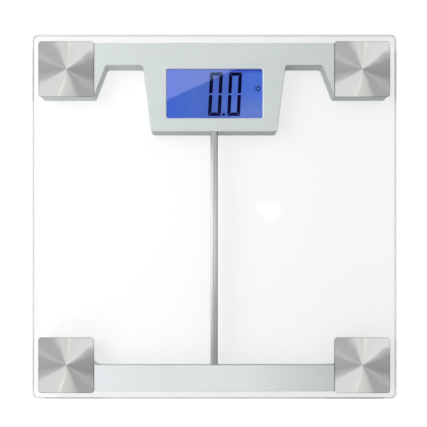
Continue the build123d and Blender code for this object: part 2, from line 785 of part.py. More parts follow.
def rear_harness(sx):
    """Three wires from a rear load cell to the board."""
    start = sx * (FOOT_AT - 6.05)
    level = CELL_PLATE_TOP + 0.5
    with BuildPart() as wires:
        for step in (-1, 0, 1):
            lane = 1.3 * step
            add(wire([
                (start, FOOT_AT + 5 + lane, level),
                (sx * 100.5, FOOT_AT + 5 + lane, level),
                (sx * 90, 136 + lane, 8.6),
                (sx * (56 - lane), 136 + lane, 8.6),
                (sx * (44.2 - lane), 127 + lane, 8.6),
                (sx * (44.2 - lane), 124 + lane, 8.6),
                (sx * (44.2 - lane), 124 + lane, BOARD_Z - 0.02),
            ], 0.8))
    return wires


def front_harness(sx):
    """Three wires from a front load cell, along the bar and up the stem."""
    start = sx * (FOOT_AT - 6.05)
    level = CELL_PLATE_TOP + 0.5
    row_z = 13.95 if sx < 0 else 15.1
    with BuildPart() as wires:
        for step in (-1, 0, 1):
            wire_y = -FOOT_AT - 5 + 1.3 * step
            lane = sx * 1.15 * step
            pad_x = sx * (7 + 1.6 * step)
            turn_y = STEM_REAR + 5.1 - 1.15 * step
            add(wire([
                (start, wire_y, level),
                (sx * 14, wire_y, level),
                (sx * 5, wire_y, row_z),
                (lane, wire_y, row_z),
                (lane, turn_y, row_z),
                (pad_x, turn_y, row_z),
                (pad_x, turn_y, BOARD_TOP + 0.02),
            ], 0.5))
    return wires


# ---------------------------------------------------------------- assembly

save(glass_platform(), "glass_platform")
save(plate_adhesive_pads(), "plate_adhesive_pads")
save(console_housing(), "console_housing")
save(console_cover(), "console_cover")
save(countersunk_screws(COVER_SCREWS, CASE_Z + 0.1, 8.6), "console_screws")
save(front_bar_housing(), "front_bar_housing")
save(front_bar_cover(), "front_bar_cover")
save(countersunk_screws(BAR_SCREWS, BAR_Z + 0.1, 6.0), "front_bar_screws")
save(stem_channel(), "stem_channel")
save(stem_cover(), "stem_cover")
save(board_screws(), "board_screws")
save(lcd_panel(), "lcd_panel")
save(lcd_backlight(), "lcd_backlight")
save(backlight_leds(), "backlight_leds")
save(lcd_frame(), "lcd_frame")
save(zebra_strip(), "zebra_strip")
save(main_board(), "main_board")
save(controller_chip(), "controller_chip")
save(board_components(), "board_components")
save(tact_switch(), "tact_switch")
save(switch_plunger(), "switch_plunger")
save(unit_button(), "unit_button")
save(coin_cell(-1), "coin_cell_left")
save(coin_cell(1), "coin_cell_right")
save(spring_contacts(), "spring_contacts")
save(rim_contacts(), "rim_contacts")
save(battery_door(), "battery_door")
save(rear_harness(-1), "harness_rear_left")
save(rear_harness(1), "harness_rear_right")
save(front_harness(-1), "harness_front_left")
save(front_harness(1), "harness_front_right")

for corner, (side_x, side_y) in FEET.items():
    save(corner_plate(side_x, side_y), f"corner_plate_{corner}")
    save(load_cell(side_x, side_y), f"load_cell_{corner}")
    save(strain_gauge(side_x, side_y), f"strain_gauge_{corner}")
    save(load_cell_retainer(side_x, side_y), f"load_cell_retainer_{corner}")
    save(foot_cup(side_x, side_y), f"foot_cup_{corner}")
    save(foot_pad(side_x, side_y), f"foot_pad_{corner}")
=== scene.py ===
"""Studio scene for the square glass bathroom scale: materials, display digits, floor, light and camera."""
import math

import bmesh
import bpy
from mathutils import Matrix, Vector


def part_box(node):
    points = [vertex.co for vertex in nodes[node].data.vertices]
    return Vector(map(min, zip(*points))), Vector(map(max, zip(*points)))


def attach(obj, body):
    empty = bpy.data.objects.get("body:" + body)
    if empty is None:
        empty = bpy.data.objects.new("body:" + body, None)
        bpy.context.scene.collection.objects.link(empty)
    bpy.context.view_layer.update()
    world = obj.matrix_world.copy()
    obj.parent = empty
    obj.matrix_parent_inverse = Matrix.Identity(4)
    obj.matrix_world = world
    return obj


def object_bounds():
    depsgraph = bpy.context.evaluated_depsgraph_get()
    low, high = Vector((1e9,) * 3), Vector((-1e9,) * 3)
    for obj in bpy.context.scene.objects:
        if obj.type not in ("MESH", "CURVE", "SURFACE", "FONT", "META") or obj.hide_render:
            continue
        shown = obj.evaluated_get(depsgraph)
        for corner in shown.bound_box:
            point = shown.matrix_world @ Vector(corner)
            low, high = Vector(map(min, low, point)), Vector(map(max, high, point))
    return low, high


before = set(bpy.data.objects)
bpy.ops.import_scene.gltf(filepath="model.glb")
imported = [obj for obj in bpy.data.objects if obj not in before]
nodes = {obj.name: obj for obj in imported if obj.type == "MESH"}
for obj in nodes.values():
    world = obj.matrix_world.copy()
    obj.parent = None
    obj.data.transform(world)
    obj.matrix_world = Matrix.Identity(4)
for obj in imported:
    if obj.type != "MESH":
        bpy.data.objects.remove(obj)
cad_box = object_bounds()
scene = bpy.context.scene
scene.view_settings.view_transform = "Standard"

MM = 0.001

# The camera looks straight down from EYE_HEIGHT above the glass.
EYE_HEIGHT = 600 * MM
EYE_AT = (-12 * MM, -75 * MM)
VIEW_WIDTH = 362.65 * MM
VIEW_CENTRE = (-0.7 * MM, 2.6 * MM)
home = Vector((*EYE_AT, cad_box[1].z + EYE_HEIGHT))

# Where the display shows, and the window over it: its middle, and how many times wider than deep it is.
SHOWN_X = (-41.5 * MM, 41.5 * MM)
SHOWN_Y = (84.5 * MM, 127.2 * MM)
WINDOW_Y = 105.9 * MM
WINDOW_ASPECT = 1.9


def lin(r, g=None, b=None):
    """Linear colour from display values of 0 to 255; one value alone gives a grey."""
    channels = (r, r, r) if g is None else (r, g, b)
    linear = []
    for value in channels:
        v = value / 255
        linear.append(v / 12.92 if v < 0.04045 else ((v + 0.055) / 1.055) ** 2.4)
    return (*linear, 1.0)


def warm_grey(v):
    """Grey with a trace less blue."""
    return lin(v, v, v - 1)


class Tree:
    """Short names for building a node tree."""

    def __init__(self, tree):
        self.t = tree
        tree.nodes.clear()

    def node(self, kind, props=None, **ins):
        """New node; _0 is an input by number, and a name with _ for a space is an input by name."""
        n = self.t.nodes.new(kind)
        for k, v in (props or {}).items():
            setattr(n, k, v)
        for k, v in ins.items():
            key = int(k[1:]) if k[0] == "_" else k.replace("_", " ")
            self.put(n.inputs[key], v)
        return n

    def put(self, socket, v):
        if isinstance(v, bpy.types.NodeSocket):
            self.t.links.new(v, socket)
        else:
            socket.default_value = v

    def math(self, op, a, b=0.0, c=0.0):
        return self.node("ShaderNodeMath", {"operation": op}, _0=a, _1=b, _2=c).outputs[0]

    def add(self, a, b):
        return self.math("ADD", a, b)

    def sub(self, a, b):
        return self.math("SUBTRACT", a, b)

    def mul(self, a, b):
        return self.math("MULTIPLY", a, b)

    def most(self, a, b):
        return self.math("MAXIMUM", a, b)

    def size(self, a):
        return self.math("ABSOLUTE", a)

    def step(self, v, lo, hi, out_lo=0.0, out_hi=1.0):
        """Smooth change from out_lo at lo to out_hi at hi."""
        kind = {"interpolation_type": "SMOOTHSTEP"}
        return self.node("ShaderNodeMapRange", kind, _0=v, _1=lo, _2=hi, _3=out_lo, _4=out_hi).outputs[0]

    def span(self, v, lo, hi, out_lo, out_hi):
        """Straight change from out_lo at lo to out_hi at hi."""
        return self.node("ShaderNodeMapRange", None, _0=v, _1=lo, _2=hi, _3=out_lo, _4=out_hi).outputs[0]

    def mix(self, f, a, b, kind="MIX"):
        n = self.node("ShaderNodeMix", {"data_type": "RGBA", "blend_type": kind})
        self.put(n.inputs[0], f)
        self.put(n.inputs[6], a)
        self.put(n.inputs[7], b)
        return n.outputs[2]

    def noise(self, vec, scale, detail=2.0, rough=0.5):
        n = self.node("ShaderNodeTexNoise", None, Scale=scale, Detail=detail, Roughness=rough)
        self.put(n.inputs["Vector"], vec)
        return n.outputs[0]

    def vary(self, noise, lo, hi):
        """Noise, which stays mostly within 0.3 to 0.7, stretched from lo to hi."""
        return self.span(noise, 0.3, 0.7, lo, hi)

    def cells(self, vec, scale, output):
        """One output of a pattern of random cells."""
        n = self.node("ShaderNodeTexVoronoi", None, Scale=scale)
        self.put(n.inputs["Vector"], vec)
        return n.outputs[output]

    def coords(self):
        return self.node("ShaderNodeTexCoord").outputs["Object"]

    def geometry(self, name):
        """The three components of the true normal or of the incoming direction."""
        return self.xyz(self.node("ShaderNodeNewGeometry").outputs[name])

    def xyz(self, vec):
        s = self.node("ShaderNodeSeparateXYZ", None, _0=vec)
        return s.outputs[0], s.outputs[1], s.outputs[2]

    def join(self, x, y, z=0.0):
        return self.node("ShaderNodeCombineXYZ", None, _0=x, _1=y, _2=z).outputs[0]

    def stretch(self, vec, factors):
        return self.node("ShaderNodeMapping", None, Vector=vec, Scale=factors).outputs[0]

    def ramp(self, v, stops, kind="LINEAR"):
        n = self.node("ShaderNodeValToRGB", None, _0=v)
        ramp = n.color_ramp
        ramp.interpolation = kind
        while len(ramp.elements) < len(stops):
            ramp.elements.new(0.5)
        for element, (at, _) in zip(ramp.elements, stops):
            element.position = at
        for element, (_, colour) in zip(ramp.elements, stops):
            element.color = colour
        return n.outputs[0]

    def bump(self, height, strength, distance):
        n = self.node("ShaderNodeBump", None, Strength=strength, Distance=distance, Height=height)
        return n.outputs[0]

    def scale_colour(self, colour, factor):
        return self.mix(1.0, colour, self.join(factor, factor, factor), "MULTIPLY")

    def principled(self, **ins):
        return self.node("ShaderNodeBsdfPrincipled", None, **ins).outputs[0]


def material(name):
    """New material and the tree that fills it."""
    m = bpy.data.materials.new(name)
    m.use_nodes = True
    return m, Tree(m.node_tree)


def surface(t, shader):
    """Closes a material with its surface shader."""
    t.node("ShaderNodeOutputMaterial", None, Surface=shader)


# ---------------------------------------------------------------- plastics and rubber

# Where the light on the upright walls changes: across the whole object, at the two sides of the bay,
# below the corner plates, and on the bevel of the display window.
WALLS_X = (-120 * MM, 110 * MM)
BAY_SIDE = (75 * MM, 60 * MM)
PLATE_INNER_SIDE = (100 * MM, 112 * MM)
BEVEL_REACH = (45 * MM, 44 * MM)
BEVEL_Z = (17.1 * MM, 17.3 * MM)
PAINTED_SHADE_X = (30 * MM, 120 * MM)


def wall_light(t, p, wall_shade):
    """Light on upright walls: less to the right and in the bay, more below the plates and on the bevel."""
    x, y, z = t.xyz(p)
    across = t.size(x)
    # Painted shade on the walls, worked into the paint colour: deeper to the right and in the bay, lighter
    # below the plates.
    light = t.span(x, *WALLS_X, wall_shade + 0.22, wall_shade + 0.03)
    light = t.add(light, t.step(across, *BAY_SIDE, 0.0, -0.1))
    light = t.add(light, t.step(across, *PLATE_INNER_SIDE, 0.0, 0.07))
    # Painted highlight on the display window's bevel, brighter where the bevel faces left.
    reach = t.most(across, t.mul(t.size(t.sub(y, WINDOW_Y)), WINDOW_ASPECT))
    bevel = t.mul(t.step(reach, *BEVEL_REACH), t.step(z, *BEVEL_Z))
    bevel_light = t.sub(1.22, t.mul(t.geometry("True Normal")[0], 0.45))
    return t.add(t.mul(light, t.sub(1.0, bevel)), t.mul(bevel_light, bevel))


def plastic(name, colour, rough=0.45, metal=0.0, grain=4000.0, depth=0.03, vary=0.05, flake=0.0,
            coat=0.0, painted_shade=0.0, wall_shade=1.0):
    """Moulded plastic with fine grain and a slow drift of tone.

    When asked it also has paint flakes, painted shade deepening towards +X, and painted shade on its
    upright sides with a painted highlight on the window bevel.
    """
    m, t = material(name)
    p = t.coords()
    fine = t.noise(p, grain, 3.0, 0.6)
    slow = t.noise(p, 14.0)
    base = t.scale_colour(colour, t.vary(slow, 1.0 - vary, 1.0 + vary))
    # Painted shade: the colour darkens towards +X, away from the lamps at the left.
    if painted_shade:
        base = t.scale_colour(base, t.span(t.xyz(p)[0], *PAINTED_SHADE_X, 1.0, 1.0 - painted_shade))
    # Painted shade on upright walls, with the painted highlight on the window bevel.
    if wall_shade < 1.0:
        facing_up = t.geometry("True Normal")[2]
        base = t.scale_colour(base, t.step(facing_up, 0.6, 0.99, wall_light(t, p, wall_shade), 1.0))
    if flake:
        spark = t.xyz(t.cells(p, 2600.0, "Color"))[0]
        base = t.scale_colour(base, t.span(spark, 0.0, 1.0, 1.0 - flake, 1.0 + flake))
    surface(t, t.principled(
        Base_Color=base, Metallic=metal, Roughness=t.vary(fine, rough - 0.06, rough + 0.06),
        Coat_Weight=coat, Coat_Roughness=0.15, Normal=t.bump(fine, depth * 8, 0.04 * MM)))
    return m


def rubber(name, colour):
    """Matt, slightly rough rubber, foam or tape."""
    m, t = material(name)
    fine = t.noise(t.coords(), 2500.0, 4.0, 0.7)
    base = t.scale_colour(colour, t.vary(fine, 0.9, 1.06))
    surface(t, t.principled(
        Base_Color=base, Roughness=t.vary(fine, 0.7, 0.85), Sheen_Weight=0.12,
        Normal=t.bump(fine, 0.35, 0.05 * MM)))
    return m


def wires(name):
    """Red, white and black insulation, one colour giving way to the next along the run."""
    m, t = material(name)
    p = t.coords()
    lane = t.noise(p, 30.0, 0.0)
    fine = t.noise(p, 2200.0)
    black, black_end = lin(30), lin(34)
    red, red_end = lin(170, 24, 22), lin(176, 30, 26)
    base = t.ramp(lane, [(0.0, black), (0.42, black_end), (0.46, red), (0.56, red_end), (0.6, lin(226))])
    base = t.scale_colour(base, t.vary(fine, 0.92, 1.05))
    surface(t, t.principled(Base_Color=base, Roughness=0.5, Normal=t.bump(fine, 0.1, 0.02 * MM)))
    return m


# ---------------------------------------------------------------- metals

def metal(name, colour, rough=0.3, line=(1.0, 9.0, 1.0), grain=900.0):
    """Rolled or plated metal with stretched grain."""
    m, t = material(name)
    streak = t.noise(t.stretch(t.coords(), line), grain, 3.0, 0.6)
    base = t.scale_colour(colour, t.vary(streak, 0.9, 1.08))
    surface(t, t.principled(
        Base_Color=base, Metallic=1.0, Roughness=t.vary(streak, rough - 0.08, rough + 0.08),
        Normal=t.bump(streak, 0.15, 0.03 * MM)))
    return m


# Painted reflection worked into the plate's colour: the sweep of light round a spun plate, degrees
# clockwise from the rear, and brightness.
PAINTED_SWEEP = [
    (0, 208), (9, 224), (16, 217), (50, 221), (60, 182), (74, 157), (108, 150), (127, 178),
    (138, 168), (150, 166), (168, 201), (182, 208), (191, 232), (199, 217), (234, 216), (246, 182),
    (262, 165), (285, 169), (298, 188), (312, 176), (326, 176), (350, 214), (360, 208),
]
# Gain of the painted reflection: more on the right plates, making up for the dimmer light to the right.
SWEEP_GAIN_LEFT, SWEEP_GAIN_RIGHT = 1.2, 1.34
# The painted reflection turns warmer on a line through the centre from front to rear, leaned by WARM_LEAN.
WARM_LEAN = math.radians(9)
WARM_TINT = (1.01, 0.995, 0.955, 1)


def spun_steel(name, cx, cy, half):
    """Steel with a spun finish, fine rings and rays; a painted reflection fans its brightness out round the
    centre, and painted shade darkens its border.
    """
    m, t = material(name)
    x, y, _ = t.xyz(t.coords())
    dx = t.sub(x, cx)
    dy = t.sub(y, cy)
    r = t.math("SQRT", t.add(t.mul(dx, dx), t.mul(dy, dy)))
    safe_r = t.most(r, 0.2 * MM)
    ray_x = t.math("DIVIDE", dx, safe_r)
    ray_y = t.math("DIVIDE", dy, safe_r)
    curl = t.vary(t.noise(t.join(dx, dy), 60.0, 1.0), -0.012, 0.012)
    turn = t.math("DIVIDE", t.math("ARCTAN2", dx, dy), 2 * math.pi)
    turn = t.math("FRACT", t.add(turn, t.add(curl, 1.0)))
    base = t.ramp(turn, [(degrees / 360, warm_grey(v)) for degrees, v in PAINTED_SWEEP], "EASE")
    rays = t.noise(t.join(ray_x, ray_y), 5.0, 1.0)
    rings = t.noise(t.join(r, 0.0), 5200.0)
    base = t.scale_colour(base, t.span(rays, 0.25, 0.75, 0.985, 1.015))
    # Painted shade along the plate's border, as on a bevel turned from the light.
    to_edge = t.most(t.size(dx), t.size(dy))
    base = t.scale_colour(base, t.step(to_edge, half - 0.9 * MM, half - 0.3 * MM, 1.0, 0.66))
    gain = SWEEP_GAIN_RIGHT if cx > 0 else SWEEP_GAIN_LEFT
    base = t.scale_colour(base, t.vary(rings, gain - 0.03, gain + 0.03))
    aside = t.sub(t.mul(ray_x, math.cos(WARM_LEAN)), t.mul(ray_y, math.sin(WARM_LEAN)))
    warm = t.step(t.size(aside), 0.28, 0.05)
    base = t.mix(warm, base, t.mix(1.0, base, WARM_TINT, "MULTIPLY"))
    along_ring = t.join(t.mul(dy, -1.0), dx)
    tangent = t.node("ShaderNodeVectorMath", {"operation": "NORMALIZE"}, _0=along_ring).outputs[0]
    surface(t, t.principled(
        Base_Color=base, Metallic=1.0, Roughness=t.vary(rays, 0.3, 0.34), Anisotropic=0.45,
        Tangent=tangent, Normal=t.bump(rings, 0.12, 0.02 * MM)))
    return m


# Painted reflection and shade: tones of the stem's bands at five places along it, from the front bar to the
# console. A band starts at its edge, in millimetres to the right of the middle line.
STEM_Y = (-126 * MM, 74 * MM)
STEM_PLACES = (0.04, 0.36, 0.6, 0.85, 0.97)
STEM_FIRST_BAND = (164, 230, 242, 214, 167)
STEM_BANDS = [
    (-1.9, (174, 228, 247, 238, 196)),
    (-1.05, (158, 186, 207, 189, 184)),
    (1.55, (166, 200, 218, 198, 190)),
    (2.4, (160, 183, 190, 175, 116)),
]
STEM_BLUR = 0.15
CREST_X = 0.25 * MM


def stem_metal():
    """Channel with painted reflection and shade: paler bands along its left side, a painted highlight crest
    half way along, and a right edge that darkens to the rear.
    """
    m, t = material("stem_metal")
    p = t.coords()
    x, y, _ = t.xyz(p)
    along = t.span(y, *STEM_Y, 0.0, 1.0)

    def band(tones):
        return t.ramp(along, [(at, warm_grey(v)) for at, v in zip(STEM_PLACES, tones)])

    base = band(STEM_FIRST_BAND)
    for edge, tones in STEM_BANDS:
        over = t.step(x, (edge - STEM_BLUR) * MM, (edge + STEM_BLUR) * MM)
        base = t.mix(over, base, band(tones))
    # Painted highlight: a pale crest line half way along the stem.
    on_line = t.step(t.size(t.sub(x, CREST_X)), 0.5 * MM, 0.2 * MM)
    half_way = t.step(t.size(t.sub(along, 0.5)), 0.25, 0.05)
    painted_crest = t.mul(on_line, half_way)
    base = t.mix(t.mul(painted_crest, 0.7), base, (0.9, 0.9, 0.88, 1))
    grain = t.noise(t.stretch(p, (1.0, 0.03, 1.0)), 2600.0, 3.0)
    base = t.scale_colour(base, t.vary(grain, 0.94, 1.06))
    surface(t, t.principled(Base_Color=base, Metallic=0.35, Roughness=0.42))
    return m


# ---------------------------------------------------------------- glass

GLASS_BODY = (0.968, 0.973, 0.971, 1)
GLASS_NEAR_EDGE = (0.952, 0.957, 0.956, 1)
GROUND_EDGE = (0.565, 0.59, 0.59, 1)
# Painted light: the ground edge facing the front is paler, making up for the dark parts seen through it.
GROUND_EDGE_FRONT = (0.72, 0.745, 0.745, 1)
GLASS_IN_SHADOW = (0.955, 0.965, 0.96, 1)


def platform_glass():
    """Clear tempered glass: near colourless faces, grey where the ground edge is, paler with painted light
    on the front edge.
    """
    m, t = material("platform_glass")
    p = t.coords()
    x, y, _ = t.xyz(p)
    _, facing_rear, facing_up = t.geometry("True Normal")
    edge = t.step(t.size(facing_up), 0.95, 0.6)
    reach = t.most(t.size(x), t.size(y))
    body = t.mix(t.step(reach, 147.5 * MM, 151.0 * MM), GLASS_BODY, GLASS_NEAR_EDGE)
    ground = t.mix(t.step(facing_rear, -0.3, -0.8), GROUND_EDGE, GROUND_EDGE_FRONT)
    haze = t.noise(p, 1800.0)
    solid = t.principled(
        Base_Color=t.mix(edge, body, ground), Roughness=t.mul(edge, t.vary(haze, 0.24, 0.3)), IOR=1.5,
        Transmission_Weight=t.span(edge, 0.0, 1.0, 1.0, 0.6))
    clear = t.node("ShaderNodeBsdfTransparent", None, Color=GLASS_IN_SHADOW).outputs[0]
    ray = t.node("ShaderNodeLightPath")
    passes = t.most(ray.outputs["Is Shadow Ray"], ray.outputs["Is Diffuse Ray"])
    surface(t, t.node("ShaderNodeMixShader", None, _0=passes, _1=solid, _2=clear).outputs[0])
    return m


# ---------------------------------------------------------------- display and electronics

# Painted shade: the darker rim along the display's left and rear sides, below the window's walls.
RIM_X = (-40.2 * MM, -40.8 * MM)
RIM_Y = (126.2 * MM, 126.8 * MM)

# The bright panel that the display mirrors: its lower edge slants, in the plane of the glass.
PANEL_SLOPE = 0.452
PANEL_Y = 117.3 * MM
PANEL_WAVE = 0.7 * MM


def seen_at(t, dx, dy, dz):
    """Point of the glass where the camera sees a ray mirrored to the direction dx, dy, dz."""
    rise = t.most(dz, 0.3)
    gx = t.math("MULTIPLY_ADD", t.math("DIVIDE", dx, rise), EYE_HEIGHT, home.x)
    gy = t.math("MULTIPLY_ADD", t.math("DIVIDE", dy, rise), EYE_HEIGHT, home.y)
    return gx, gy


def bright_panel(t, gx, gy):
    """0 to 1: whether the bright panel is mirrored at the point gx, gy of the glass."""
    edge = t.math("MULTIPLY_ADD", gx, PANEL_SLOPE, PANEL_Y)
    wave = t.vary(t.noise(t.join(gx, gy), 190.0), -PANEL_WAVE, PANEL_WAVE)
    return t.step(t.add(t.sub(gy, edge), wave), -1.2 * MM, 1.4 * MM)


def display_sheen(t, colour):
    """Painted reflection: light that the display's own polished face mirrors from the bright panel, worked
    out from the view and added as glow.
    """
    ix, iy, iz = t.geometry("Incoming")
    gx, gy = seen_at(t, t.mul(ix, -1.0), t.mul(iy, -1.0), iz)
    return t.scale_colour(colour, bright_panel(t, gx, gy))


def display_panel():
    """Blue backlit panel, greyer at the lower right, with a painted shadow deepening it at the top right,
    painted shade on its left and rear rim and a painted reflection added to its glow.
    """
    m, t = material("display_panel")
    p = t.coords()
    x, y, _ = t.xyz(p)
    u = t.span(x, *SHOWN_X, 0.0, 1.0)
    v = t.span(y, *SHOWN_Y, 0.0, 1.0)
    blue = t.ramp(u, [
        (0.0, lin(62, 101, 216)), (0.25, lin(70, 108, 206)), (0.55, lin(74, 102, 194)),
        (0.75, lin(72, 108, 210)), (1.0, lin(72, 116, 222))])
    lower_right = t.mul(t.step(u, 0.45, 0.95), t.step(v, 0.6, 0.1))
    blue = t.mix(t.mul(lower_right, 0.75), blue, lin(112, 134, 212))
    # Painted shadow of the window's top wall, along the top at the right.
    window_shadow = t.mul(t.step(v, 0.9, 0.98), t.step(u, 0.55, 0.72))
    blue = t.mix(t.mul(window_shadow, 0.8), blue, lin(38, 56, 186))
    # Painted shade along the left and rear rim.
    rim = t.most(t.step(x, *RIM_X), t.step(y, *RIM_Y))
    blue = t.mix(t.mul(rim, 0.55), blue, lin(40, 52, 120))
    cloud = t.noise(p, 90.0, 3.0, 0.6)
    blue = t.scale_colour(blue, t.vary(cloud, 0.95, 1.05))
    # Painted reflection added to the panel's glow.
    glow = t.mix(1.0, blue, display_sheen(t, (0.105, 0.1, 0.125, 1)), "ADD")
    facing_up = t.geometry("True Normal")[2]
    surface(t, t.principled(
        Base_Color=(0.01, 0.016, 0.05, 1), Roughness=0.35, Specular_IOR_Level=0.1,
        Emission_Color=glow, Emission_Strength=t.step(facing_up, 0.5, 0.9, 0.0, 0.93)))
    return m


def display_ink():
    """Dark liquid crystal segments, a little paler low down, with a painted reflection added to their glow.
    """
    m, t = material("display_ink")
    p = t.coords()
    low = t.step(t.xyz(p)[1], 104 * MM, 86 * MM)
    ink = t.mix(t.mul(low, 0.8), lin(0, 0, 36), lin(16, 20, 66))
    grain = t.noise(p, 700.0)
    ink = t.scale_colour(ink, t.vary(grain, 0.85, 1.1))
    ink = t.mix(1.0, ink, display_sheen(t, (0.032, 0.074, 0.155, 1)), "ADD")
    surface(t, t.principled(
        Base_Color=(0.001, 0.001, 0.008, 1), Roughness=0.4, Specular_IOR_Level=0.0,
        Emission_Color=ink, Emission_Strength=0.8))
    return m


def glow(name, colour, strength):
    """Softly uneven lit plastic."""
    m, t = material(name)
    patchy = t.noise(t.coords(), 300.0)
    c = t.scale_colour(colour, t.vary(patchy, 0.92, 1.05))
    surface(t, t.principled(Base_Color=c, Roughness=0.25, Emission_Color=c, Emission_Strength=strength))
    return m


def circuit_board():
    """Green solder mask with paler traces and tinned pads."""
    m, t = material("circuit_board")
    p = t.coords()
    wander = t.mul(t.noise(p, 40.0), 10 * MM)
    lanes = t.math("SINE", t.mul(t.add(t.xyz(p)[0], wander), 3600.0))
    trace = t.step(lanes, 0.4, 0.7)
    pad = t.step(t.cells(p, 210.0, "Distance"), 0.14, 0.11)
    base = t.mix(t.mul(trace, 0.5), (0.012, 0.16, 0.05, 1), (0.03, 0.26, 0.09, 1))
    base = t.mix(pad, base, (0.62, 0.6, 0.55, 1))
    surface(t, t.principled(
        Base_Color=base, Metallic=pad, Roughness=0.35, Normal=t.bump(trace, 0.2, 0.03 * MM)))
    return m


# ---------------------------------------------------------------- materials on the CAD nodes

# PAINT puts painted shade on the upright walls of the silver paints.
PAINT = {"rough": 0.42, "grain": 3800.0, "depth": 0.02, "vary": 0.015, "flake": 0.035, "wall_shade": 0.68}
silver = plastic("silver_paint", lin(217, 222, 223), metal=0.25, **PAINT)
# Lighter copy of the silver paint for the front bar: painted light, with painted shade towards +X.
bar_lit_silver = plastic("bar_silver_paint", lin(228, 231, 233), metal=0.2, painted_shade=0.26, **PAINT)
silver_under = plastic("silver_paint_under", lin(196, 201, 202), rough=0.5, metal=0.15, grain=3000.0,
                       depth=0.05, vary=0.03, flake=0.03)
dark = plastic("dark_plastic", lin(46, 47, 50), rough=0.55, grain=2600.0, depth=0.06, vary=0.06)
white = plastic("white_plastic", lin(232, 232, 228), rough=0.5, grain=3000.0)
resin = plastic("black_resin", lin(24, 24, 27), rough=0.32, grain=1500.0, coat=0.3)
potting = plastic("white_potting", lin(230, 229, 222), rough=0.4, grain=700.0, depth=0.06)
pad_rubber = rubber("foot_rubber", lin(196, 198, 200))
zebra = rubber("zebra_rubber", lin(214, 150, 160))
tape = rubber("adhesive_tape", lin(226, 226, 218))
harness = wires("wire_insulation")
screw = metal("screw_steel", (0.56, 0.56, 0.58, 1), rough=0.28)
cell_steel = metal("load_cell_steel", (0.47, 0.48, 0.5, 1), rough=0.36)
coin = metal("coin_cell_can", (0.66, 0.66, 0.68, 1), rough=0.22, line=(1.0, 1.0, 1.0), grain=2600.0)
contact = metal("contact_strip", (0.72, 0.66, 0.5, 1))
ink = display_ink()

LOOKS = {
    "glass_platform": platform_glass(),
    "plate_adhesive_pads": tape,
    "console_housing": silver,
    "console_cover": silver_under,
    "console_screws": screw,
    "front_bar_housing": bar_lit_silver,
    "front_bar_cover": silver_under,
    "front_bar_screws": screw,
    "stem_channel": stem_metal(),
    "stem_cover": silver_under,
    "battery_door": silver_under,
    "lcd_panel": display_panel(),
    "lcd_backlight": glow("light_guide", lin(120, 165, 235), 0.5),
    "backlight_leds": glow("side_lamp", lin(150, 190, 255), 2.0),
    "lcd_frame": white,
    "zebra_strip": zebra,
    "main_board": circuit_board(),
    "board_screws": screw,
    "controller_chip": resin,
    "board_components": resin,
    "tact_switch": resin,
    "switch_plunger": white,
    "unit_button": dark,
    "coin_cell_left": coin,
    "coin_cell_right": coin,
    "spring_contacts": contact,
    "rim_contacts": contact,
}
# Nodes made once for each foot; the longer start comes before the shorter one that it contains.
FOOT_LOOKS = {
    "harness_": harness,
    "load_cell_retainer_": dark,
    "load_cell_": cell_steel,
    "strain_gauge_": potting,
    "foot_cup_": dark,
    "foot_pad_": pad_rubber,
}
PLATE = "corner_plate_"


def look_of(name):
    """The material of one CAD node."""
    if name.startswith(PLATE):
        lo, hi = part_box(name)
        middle = (lo + hi) / 2
        return spun_steel("spun_steel_" + name.removeprefix(PLATE), middle.x, middle.y, (hi.x - lo.x) / 2)
    if name in LOOKS:
        return LOOKS[name]
    return next(look for start, look in FOOT_LOOKS.items() if name.startswith(start))


for name, obj in nodes.items():
    obj.data.materials.clear()
    obj.data.materials.append(look_of(name))


# ---------------------------------------------------------------- display digits

# All in millimetres: the segments lie on the panel, INK_LIFT above it.
DIGIT_W, DIGIT_H = 11.1, 37.3
DIGIT_Y = 105.7
STROKE, GAP = 2.95, 0.22
SLANT = math.tan(math.radians(2.9))
FIRST_DIGIT_X, SECOND_DIGIT_X = 1.1, 17.5
INK_LIFT, INK_TOP = 0.012, 0.03
POINT = [(6.85, 87.15), (9.1, 87.15), (9.25, 89.4), (7.0, 89.4)]
MARK_BAR = [(34.75, 108.3), (35.25, 108.3), (35.4, 112.9), (34.9, 112.9)]
MARK_RING_AT = (37.8, 110.4)
MARK_RING_OUTER, MARK_RING_INNER = (1.75, 2.35), (0.95, 1.45)


def walls(bm, low, high):
    """Faces between two closed rows of points."""
    n = len(low)
    for i in range(n):
        j = (i + 1) % n
        bm.faces.new((low[i], low[j], high[j], high[i]))


def row(bm, outline, z):
    return [bm.verts.new((x * MM, y * MM, z)) for x, y in outline]


def plate(bm, outline, z0, z1):
    """Closed flat plate with the given outline."""
    low, high = row(bm, outline, z0), row(bm, outline, z1)
    bm.faces.new(list(reversed(low)))
    bm.faces.new(high)
    walls(bm, low, high)


def ring(bm, outer, inner, z0, z1):
    """Closed flat ring between two outlines with the same number of points."""
    rows = [row(bm, outer, z0), row(bm, outer, z1), row(bm, inner, z1), row(bm, inner, z0)]
    for i in range(4):
        walls(bm, rows[i], rows[(i + 1) % 4])


def ink_piece(name, plates, rings=()):
    """One thin mesh of flat plates and rings, lying on the display panel."""
    panel_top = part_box("lcd_panel")[1].z
    z0, z1 = panel_top + INK_LIFT * MM, panel_top + INK_TOP * MM
    bm = bmesh.new()
    for outline in plates:
        plate(bm, outline, z0, z1)
    for outer, inner in rings:
        ring(bm, outer, inner, z0, z1)
    bm.normal_update()
    bmesh.ops.recalc_face_normals(bm, faces=bm.faces)
    mesh = bpy.data.meshes.new(name)
    bm.to_mesh(mesh)
    bm.free()
    obj = bpy.data.objects.new(name, mesh)
    scene.collection.objects.link(obj)
    mesh.materials.append(ink)
    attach(obj, "platform")


def slanted(points, cx):
    """Outline in a digit's own frame, leaned over and put at the digit's place."""
    left, foot = cx - DIGIT_W / 2, DIGIT_Y - DIGIT_H / 2
    return [(left + x + SLANT * (y - DIGIT_H / 2), foot + y) for x, y in points]


